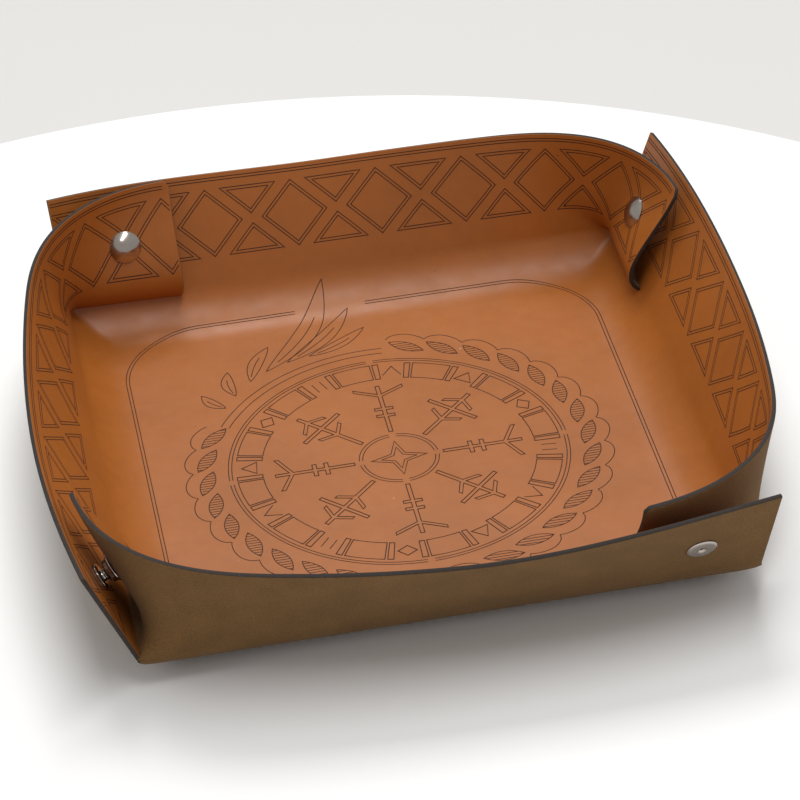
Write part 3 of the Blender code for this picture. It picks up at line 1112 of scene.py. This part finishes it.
def share_out(sheet, lines):
    """Splits flat lines among the pieces of leather. Returns {(kind, wall): runs}, where a run is
    its points, its widths and whether it closes on itself."""
    shared = {}
    for line in lines:
        widths = corner_widths(line)
        reach = np.abs(line).max()
        if reach > sheet.sizes.floor_half:
            fine = finely(line, LINE_STEP)
            starts = [int(np.argmin(np.linalg.norm(fine - point, axis=1))) for point in line]
            fine_widths = np.ones(len(fine))
            fine_widths[starts] = widths
            line, widths = fine, fine_widths
        owners = [sheet.piece_at(*((a + b) / 2)) for a, b in zip(line, line[1:])]
        first = 0
        for k in range(1, len(owners) + 1):
            if k < len(owners) and owners[k] == owners[first]:
                continue
            is_whole = first == 0 and k == len(owners)
            is_ring = is_whole and np.linalg.norm(line[0] - line[-1]) < 1e-9
            run = (line[first : k + 1], widths[first : k + 1], is_ring)
            shared.setdefault(owners[first], []).append(run)
            first = k
    return shared


def line_tree():
    """Geometry Nodes that sweep a flat burnt strip along edges that lie on the leather."""
    found = bpy.data.node_groups.get(LINE_TREE)
    if found:
        return found
    tree = bpy.data.node_groups.new(LINE_TREE, "GeometryNodeTree")
    tree.interface.new_socket("Geometry", in_out="INPUT", socket_type="NodeSocketGeometry")
    for name in ("Line Width", "Line Depth"):
        socket = tree.interface.new_socket(name, in_out="INPUT", socket_type="NodeSocketFloat")
        socket.subtype = "DISTANCE"
    tree.interface.new_socket("Material", in_out="INPUT", socket_type="NodeSocketMaterial")
    tree.interface.new_socket("Geometry", in_out="OUTPUT", socket_type="NodeSocketGeometry")
    group_in = add_node(tree, "NodeGroupInput").outputs
    outward = add_node(
        tree, "GeometryNodeInputNamedAttribute", {"data_type": "FLOAT_VECTOR"}, {"Name": "outward"}
    )
    widen = add_node(tree, "GeometryNodeInputNamedAttribute", {"data_type": "FLOAT"}, {"Name": "widen"})
    curve = add_node(tree, "GeometryNodeMeshToCurve", inputs={"Mesh": group_in["Geometry"]})
    aimed = add_node(
        tree,
        "GeometryNodeSetCurveNormal",
        {"mode": "FREE"},
        {"Curve": curve.outputs["Curve"], "Normal": outward.outputs["Attribute"]},
    )
    profile = add_node(
        tree,
        "GeometryNodeCurvePrimitiveQuadrilateral",
        inputs={"Width": group_in["Line Depth"], "Height": group_in["Line Width"]},
    )
    swept = add_node(
        tree,
        "GeometryNodeCurveToMesh",
        inputs={
            "Curve": aimed.outputs["Curve"],
            "Profile Curve": profile.outputs["Curve"],
            "Scale": widen.outputs["Attribute"],
            "Fill Caps": True,
        },
    )
    flat = add_node(
        tree,
        "GeometryNodeSetShadeSmooth",
        inputs={"Geometry": swept.outputs["Mesh"], "Shade Smooth": False},
    )
    whole = add_node(
        tree, "GeometryNodeRealizeInstances", inputs={"Geometry": flat.outputs["Geometry"]}
    )
    painted = add_node(
        tree,
        "GeometryNodeSetMaterial",
        inputs={"Geometry": whole.outputs["Geometry"], "Material": group_in["Material"]},
    )
    add_node(tree, "NodeGroupOutput", inputs={"Geometry": painted.outputs["Geometry"]})
    return tree


def set_modifier_inputs(modifier, values):
    """Sets a Geometry Nodes modifier's inputs by their sockets' identifiers."""
    for item in modifier.node_group.interface.items_tree:
        if item.item_type == "SOCKET" and item.in_out == "INPUT" and item.name in values:
            modifier[item.identifier] = values[item.name]


def applied(piece, name):
    """Turns what a piece's modifiers make into its own plain mesh."""
    bpy.context.view_layer.update()
    evaluated = piece.evaluated_get(bpy.context.evaluated_depsgraph_get())
    made = bpy.data.meshes.new_from_object(evaluated)
    made.name = name
    draft = piece.data
    piece.modifiers.clear()
    piece.data = made
    bpy.data.meshes.remove(draft)
    return piece


def engraved_object(name, sheet, engraving, kind, wall, runs):
    """The engraved lines on one piece of leather, as one mesh of closed strips."""
    sizes = sheet.sizes
    inset = sizes.thickness / 2 + engraving.line_rise - engraving.line_depth / 2
    points, edges, outwards, widens = [], [], [], []
    for line, widths, is_ring in runs:
        along, distance = sheet.from_wall(line[:, 0], line[:, 1], wall)
        middle = sheet.place(along, distance)
        outward = sheet.outward(along, distance)
        on_grain = turned_points(middle - outward * inset, wall)
        outward = turned_points(outward, wall)
        count = len(line) - 1 if is_ring else len(line)
        first = len(points)
        points += [tuple(point) for point in on_grain[:count]]
        outwards += [tuple(normal) for normal in outward[:count]]
        widens += list(widths[:count])
        edges += [(first + k, first + k + 1) for k in range(count - 1)]
        if is_ring:
            edges.append((first + count - 1, first))
    mesh = bpy.data.meshes.new(name)
    mesh.from_pydata(points, edges, [])
    attribute = mesh.attributes.new("outward", "FLOAT_VECTOR", "POINT")
    attribute.data.foreach_set("vector", np.array(outwards).ravel())
    attribute = mesh.attributes.new("widen", "FLOAT", "POINT")
    attribute.data.foreach_set("value", widens)
    piece = link_object(name, mesh)
    modifier = piece.modifiers.new("sweep", "NODES")
    modifier.node_group = line_tree()
    values = {
        "Line Width": engraving.line_width,
        "Line Depth": engraving.line_depth,
        "Material": material("laser_engraved_leather_line"),
    }
    set_modifier_inputs(modifier, values)
    applied(piece, name)
    follow(piece, sheet, kind, wall)


def engrave(sheet, engraving, lines, label):
    for (kind, wall), runs in sorted(share_out(sheet, lines).items()):
        name = f"{label}_lines_{piece_name(kind, wall)}"
        engraved_object(name, sheet, engraving, kind, wall, runs)


# ---------------------------------------------------------------- press studs

TURN_STEPS = 72


def rounded_profile(points):
    """A profile given as (radius, height, rounding), with its corners rounded off, in
    millimetres. Corners with no rounding stay sharp."""
    made = []
    for k, (radius, height, rounding) in enumerate(points):
        here = Vector((radius, height))
        if rounding == 0:
            made.append(here)
            continue
        before = Vector(points[k - 1][:2])
        after = Vector(points[(k + 1) % len(points)][:2])
        start = here + (before - here).normalized() * rounding
        end = here + (after - here).normalized() * rounding
        for step in range(5):
            t = step / 4
            made.append(start * (1 - t) ** 2 + here * (2 * t * (1 - t)) + end * t**2)
    return [(point.x * MM, point.y * MM) for point in made]


def turned_mesh(name, profile, place, axis, wall):
    """A piece turned on a lathe. Its profile is a closed outline of (radius, height)."""
    rings, vertices, faces = [], [], []
    for radius, height in profile:
        count = 1 if radius < 1e-9 else TURN_STEPS
        rings.append(range(len(vertices), len(vertices) + count))
        for k in range(count):
            turn = math.tau * k / TURN_STEPS
            vertices.append((radius * math.cos(turn), radius * math.sin(turn), height))
    is_ring = profile[0][0] > 1e-9
    pairs = list(zip(rings, rings[1:])) + ([(rings[-1], rings[0])] if is_ring else [])
    for lower, upper in pairs:
        if len(lower) == len(upper) == 1:
            continue
        for k in range(TURN_STEPS):
            n = (k + 1) % TURN_STEPS
            corners = (
                lower[k % len(lower)],
                lower[n % len(lower)],
                upper[n % len(upper)],
                upper[k % len(upper)],
            )
            faces.append(list(dict.fromkeys(corners)))
    mesh = bpy.data.meshes.new(name)
    mesh.from_pydata(vertices, [], faces)
    aim = Vector(axis).to_track_quat("Z", "Y").to_matrix().to_4x4()
    mesh.transform(wall_turn(wall).to_4x4() @ Matrix.Translation(Vector(place)) @ aim)
    mesh.shade_smooth()
    mesh.set_sharp_from_angle(angle=math.radians(35))
    mesh.materials.append(material("bright_nickel_plated_brass"))
    return link_object(name, mesh)


def cap_profile(leather, studs):
    """The cap's dome, from its crown down to the leather and back to the axis."""
    seat = -leather.thickness / 2 / MM - 0.05
    radius, height = studs.cap_radius / MM, studs.cap_height / MM
    dome = [
        (radius * share, seat - height * (0.16 + 0.84 * (1 - share**2.2)), 0)
        for share in np.linspace(0, 1, 17)
    ]
    rest = [(radius - 0.05, seat - 0.12, 0), (radius - 0.3, seat, 0), (0, seat + 0.1, 0)]
    return rounded_profile(dome + rest)


def socket_profile(leather, studs):
    seat = leather.thickness / 2 / MM + 0.1
    radius = studs.socket_radius / MM
    return rounded_profile(
        [
            (1.6, seat, 0),
            (radius, seat, 0.15),
            (radius, seat + 0.6, 0.2),
            (radius - 0.7, seat + 1.0, 0.2),
            (radius - 0.9, seat + 2.5, 0.3),
            (radius - 1.5, seat + 2.9, 0.3),
            (2.6, seat + 2.7, 0.2),
            (2.4, seat + 0.8, 0.1),
            (1.6, seat + 0.8, 0),
        ]
    )


def stud_profile(leather, studs):
    seat = -leather.thickness / 2 / MM - 0.1
    radius = studs.stud_radius / MM
    return rounded_profile(
        [
            (1.4, seat, 0),
            (radius, seat, 0.15),
            (radius, seat - 0.7, 0.2),
            (radius - 1.2, seat - 1.1, 0.3),
            (2.2, seat - 1.0, 0.15),
            (2.0, seat - 1.7, 0.1),
            (2.3, seat - 2.2, 0.3),
            (1.8, seat - 2.9, 0.3),
            (0.8, seat - 2.9, 0.2),
            (0.8, seat - 1.6, 0.1),
            (1.4, seat - 1.2, 0),
        ]
    )


def post_profile(leather, studs):
    seat = leather.thickness / 2 / MM + 0.02
    radius = studs.post_radius / MM
    return rounded_profile(
        [
            (1.2, seat - 2.6, 0),
            (1.2, seat, 0),
            (radius - 0.2, seat, 0.1),
            (radius, seat + 0.35, 0.15),
            (radius - 0.7, seat + 0.85, 0.5),
            (3.0, seat + 0.95, 0.8),
            (1.7, seat + 0.95, 0.4),
            (0.8, seat + 0.3, 0.3),
            (0.8, seat - 2.6, 0),
        ]
    )


def make_press_stud(sheet, studs, wall, frames):
    """The four metal pieces that hold one wall's flap to the next wall."""
    flap_place, flap_axis, wall_place, wall_axis = frames
    flap_body = "flap_" + WALLS[wall]
    next_body = "wall_" + WALLS[(wall + 1) % len(WALLS)]
    pieces = (
        ("cap", cap_profile, flap_place, flap_axis, flap_body),
        ("socket", socket_profile, flap_place, flap_axis, flap_body),
        ("stud", stud_profile, wall_place, wall_axis, next_body),
        ("post", post_profile, wall_place, wall_axis, next_body),
    )
    for kind, profile, place, axis, body in pieces:
        name = f"{kind}_{CORNERS[wall]}"
        piece = turned_mesh("nickel_" + name, profile(sheet.sizes, studs), place, axis, wall)
        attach(piece, body)
        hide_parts(name)


# ---------------------------------------------------------------- the stage


# Name, place and size in metres, and watts
STUDIO_LIGHTS = (
    ("window_behind", (0.05, 1.2, 1.9), (1.2, 0.7), 22),
    ("strip_above", (0.15, -0.1, 1.9), (1.6, 0.4), 14),
)
WORLD_STRENGTH = 0.46
LOOK_AT = (7.06 * MM, 31.3 * MM, 1.8 * MM)


def add_staged(name, vertices, faces, surface):
    """Adds a smooth mesh of the studio, which is not part of the tray."""
    mesh = bpy.data.meshes.new(name)
    mesh.from_pydata(vertices, [], faces)
    mesh.shade_smooth()
    mesh.materials.append(material(surface))
    link_object(name, mesh)


def make_table():
    """A round white table top with a soft edge, which ends a little way behind the tray."""
    radius, edge, steps = 0.40, 0.008, 160
    middle = (-0.052, -0.125)
    profile = [(radius - edge, -0.1 * MM)]
    profile += [
        (radius - edge + edge * math.sin(t), -0.1 * MM - edge * (1 - math.cos(t)))
        for t in (QUARTER * k / 6 for k in range(1, 7))
    ]
    profile.append((radius, -0.04))
    vertices = [(*middle, -0.1 * MM)]
    for reach, height in profile:
        for k in range(steps):
            turn = math.tau * k / steps
            vertices.append((middle[0] + reach * math.cos(turn), middle[1] + reach * math.sin(turn), height))
    faces = [(0, 1 + k, 1 + (k + 1) % steps) for k in range(steps)]
    for ring in range(len(profile) - 1):
        first = 1 + ring * steps
        for k in range(steps):
            n = (k + 1) % steps
            faces.append((first + k, first + steps + k, first + steps + n, first + n))
    add_staged("studio_table", vertices, faces, "matt_white_laminate")


def make_backdrop():
    """A pale sheet below the table, which sweeps up behind it."""
    half_width, front, back, curve, top, low = 4.0, -3.0, 1.6, 1.4, 4.0, -0.35
    path = [(front, low), (back, low)]
    for k in range(1, 25):
        t = QUARTER * k / 24
        path.append((back + curve * math.sin(t), low + curve * (1 - math.cos(t))))
    path.append((back + curve, top))
    vertices = [(x, y, z) for y, z in path for x in (-half_width, half_width)]
    faces = [(2 * k, 2 * k + 1, 2 * k + 3, 2 * k + 2) for k in range(len(path) - 1)]
    add_staged("studio_backdrop", vertices, faces, "pale_studio_paper")


def add_light(name, place, size, watts):
    """A soft rectangular lamp that points at the tray."""
    lamp = bpy.data.lights.new(name, "AREA")
    lamp.shape = "RECTANGLE"
    lamp.size, lamp.size_y = size
    lamp.energy = watts
    made = link_object(name, lamp)
    made.location = place
    made.rotation_euler = (-Vector(place)).to_track_quat("-Z", "Y").to_euler()


def make_camera(stage):
    """The camera looks down at the tray from in front, a little to the left."""
    level = math.cos(stage.elevation)
    back = Vector(
        (math.sin(stage.azimuth) * level, -math.cos(stage.azimuth) * level, math.sin(stage.elevation))
    )
    right = (-back).cross(Vector((0, 0, 1))).normalized()
    up = right.cross(-back)
    leaning_right = right * math.cos(stage.roll) + up * math.sin(stage.roll)
    leaning_up = up * math.cos(stage.roll) - right * math.sin(stage.roll)
    pose = Matrix((leaning_right, leaning_up, back)).transposed().to_4x4()
    pose.translation = Vector(LOOK_AT) + back * stage.distance
    data = bpy.data.cameras.new("camera")
    data.lens = stage.focal_length
    data.sensor_width = 36
    data.clip_start, data.clip_end = 0.05, 50
    made = link_object("camera", data)
    made.matrix_world = pose
    bpy.context.scene.camera = made


def make_world():
    world = bpy.data.worlds.new("studio")
    world.use_nodes = True
    background = world.node_tree.nodes["Background"]
    background.inputs["Color"].default_value = (*linear("#FFFFFF"), 1.0)
    background.inputs["Strength"].default_value = WORLD_STRENGTH
    bpy.context.scene.world = world


# ---------------------------------------------------------------- operators and panel


class TRAY_OT_stage(bpy.types.Operator):
    """Sets up the camera, the table, the backdrop and the soft lights"""

    bl_idname = "tray.stage"
    bl_label = "Stage"

    def execute(self, context):
        make_camera(context.scene.tray_stage)
        make_table()
        make_backdrop()
        make_world()
        for name, place, size, watts in STUDIO_LIGHTS:
            add_light(name, place, size, watts)
        context.scene.view_settings.view_transform = "Standard"
        return {"FINISHED"}


class TRAY_OT_floor(bpy.types.Operator):
    """Makes the flat floor of the tray and the folds round it"""

    bl_idname = "tray.floor"
    bl_label = "Floor and Folds"

    def execute(self, context):
        sheet = FoldedSheet(context.scene.tray_leather)
        make_leather_floor(sheet)
        for wall in range(len(WALLS)):
            make_leather_fold(sheet, wall)
        return {"FINISHED"}


class TRAY_OT_walls(bpy.types.Operator):
    """Makes the four walls, each with the corner that curls round and the flap at its end"""

    bl_idname = "tray.walls"
    bl_label = "Walls and Flaps"

    def execute(self, context):
        sheet = FoldedSheet(context.scene.tray_leather)
        for wall in range(len(WALLS)):
            for kind in ("wall", "corner", "curl", "flap"):
                band_piece(sheet, kind, wall)
        return {"FINISHED"}


class TRAY_OT_floor_engraving(bpy.types.Operator):
    """Engraves the rings, the leaf braid, the leaf spray and the border on the floor"""

    bl_idname = "tray.floor_engraving"
    bl_label = "Floor Engraving"

    def execute(self, context):
        engraving = context.scene.tray_engraving
        sheet = FoldedSheet(context.scene.tray_leather)
        centre, radius = (0.0, engraving.ring_middle), engraving.ring_radius
        gap = math.degrees(RING_BREAK)
        lines = broken_ring(centre, 1.004 * radius, gap) + broken_ring(centre, 0.984 * radius, gap)
        lines += ring_band(centre, radius) + spokes(centre, radius) + middle_star(centre, radius)
        lines += braid(centre, radius) + leaf_spray(centre, radius) + floor_border()
        engrave(sheet, engraving, lines, "floor")
        return {"FINISHED"}


class TRAY_OT_wall_engraving(bpy.types.Operator):
    """Engraves the lattice and the double line along each wall and flap"""

    bl_idname = "tray.wall_engraving"
    bl_label = "Wall Engraving"

    def execute(self, context):
        engraving = context.scene.tray_engraving
        sheet = FoldedSheet(context.scene.tray_leather)
        lines = []
        for wall in range(len(WALLS)):
            lines += wall_lattice(sheet.sizes, engraving, wall)
        engrave(sheet, engraving, lines, "lattice")
        return {"FINISHED"}


class TRAY_OT_press_studs(bpy.types.Operator):
    """Makes the cap, socket, stud and post at each corner"""

    bl_idname = "tray.press_studs"
    bl_label = "Press Studs"

    def execute(self, context):
        studs = context.scene.tray_studs
        sheet = FoldedSheet(context.scene.tray_leather)
        frames = sheet.snap_frames(studs)
        for wall in range(len(WALLS)):
            make_press_stud(sheet, studs, wall, frames)
        return {"FINISHED"}


class TRAY_PT_panel(bpy.types.Panel):
    """Lists the tray's pieces and the sizes and colours that they are made with"""

    bl_label = "Leather Tray"
    bl_idname = "TRAY_PT_panel"
    bl_space_type = "VIEW_3D"
    bl_region_type = "UI"
    bl_category = "Leather Tray"

    def draw(self, context):
        for operator in OPERATORS:
            self.layout.operator(operator.bl_idname)
        for name in GROUPS:
            box = self.layout.box()
            group = getattr(context.scene, name)
            for key in group.bl_rna.properties.keys():
                if key not in ("rna_type", "name"):
                    box.prop(group, key)


OPERATORS = (
    TRAY_OT_stage,
    TRAY_OT_floor,
    TRAY_OT_walls,
    TRAY_OT_floor_engraving,
    TRAY_OT_wall_engraving,
    TRAY_OT_press_studs,
)
CLASSES = (*GROUPS.values(), *OPERATORS, TRAY_PT_panel)


def register():
    for made in CLASSES:
        bpy.utils.register_class(made)
    for name, group in GROUPS.items():
        setattr(bpy.types.Scene, name, bpy.props.PointerProperty(type=group))


def unregister():
    for name in GROUPS:
        delattr(bpy.types.Scene, name)
    for made in reversed(CLASSES):
        bpy.utils.unregister_class(made)


def main():
    register()
    for operator in OPERATORS:
        category, name = operator.bl_idname.split(".")
        getattr(getattr(bpy.ops, category), name)()


if __name__ == "__main__":
    main()
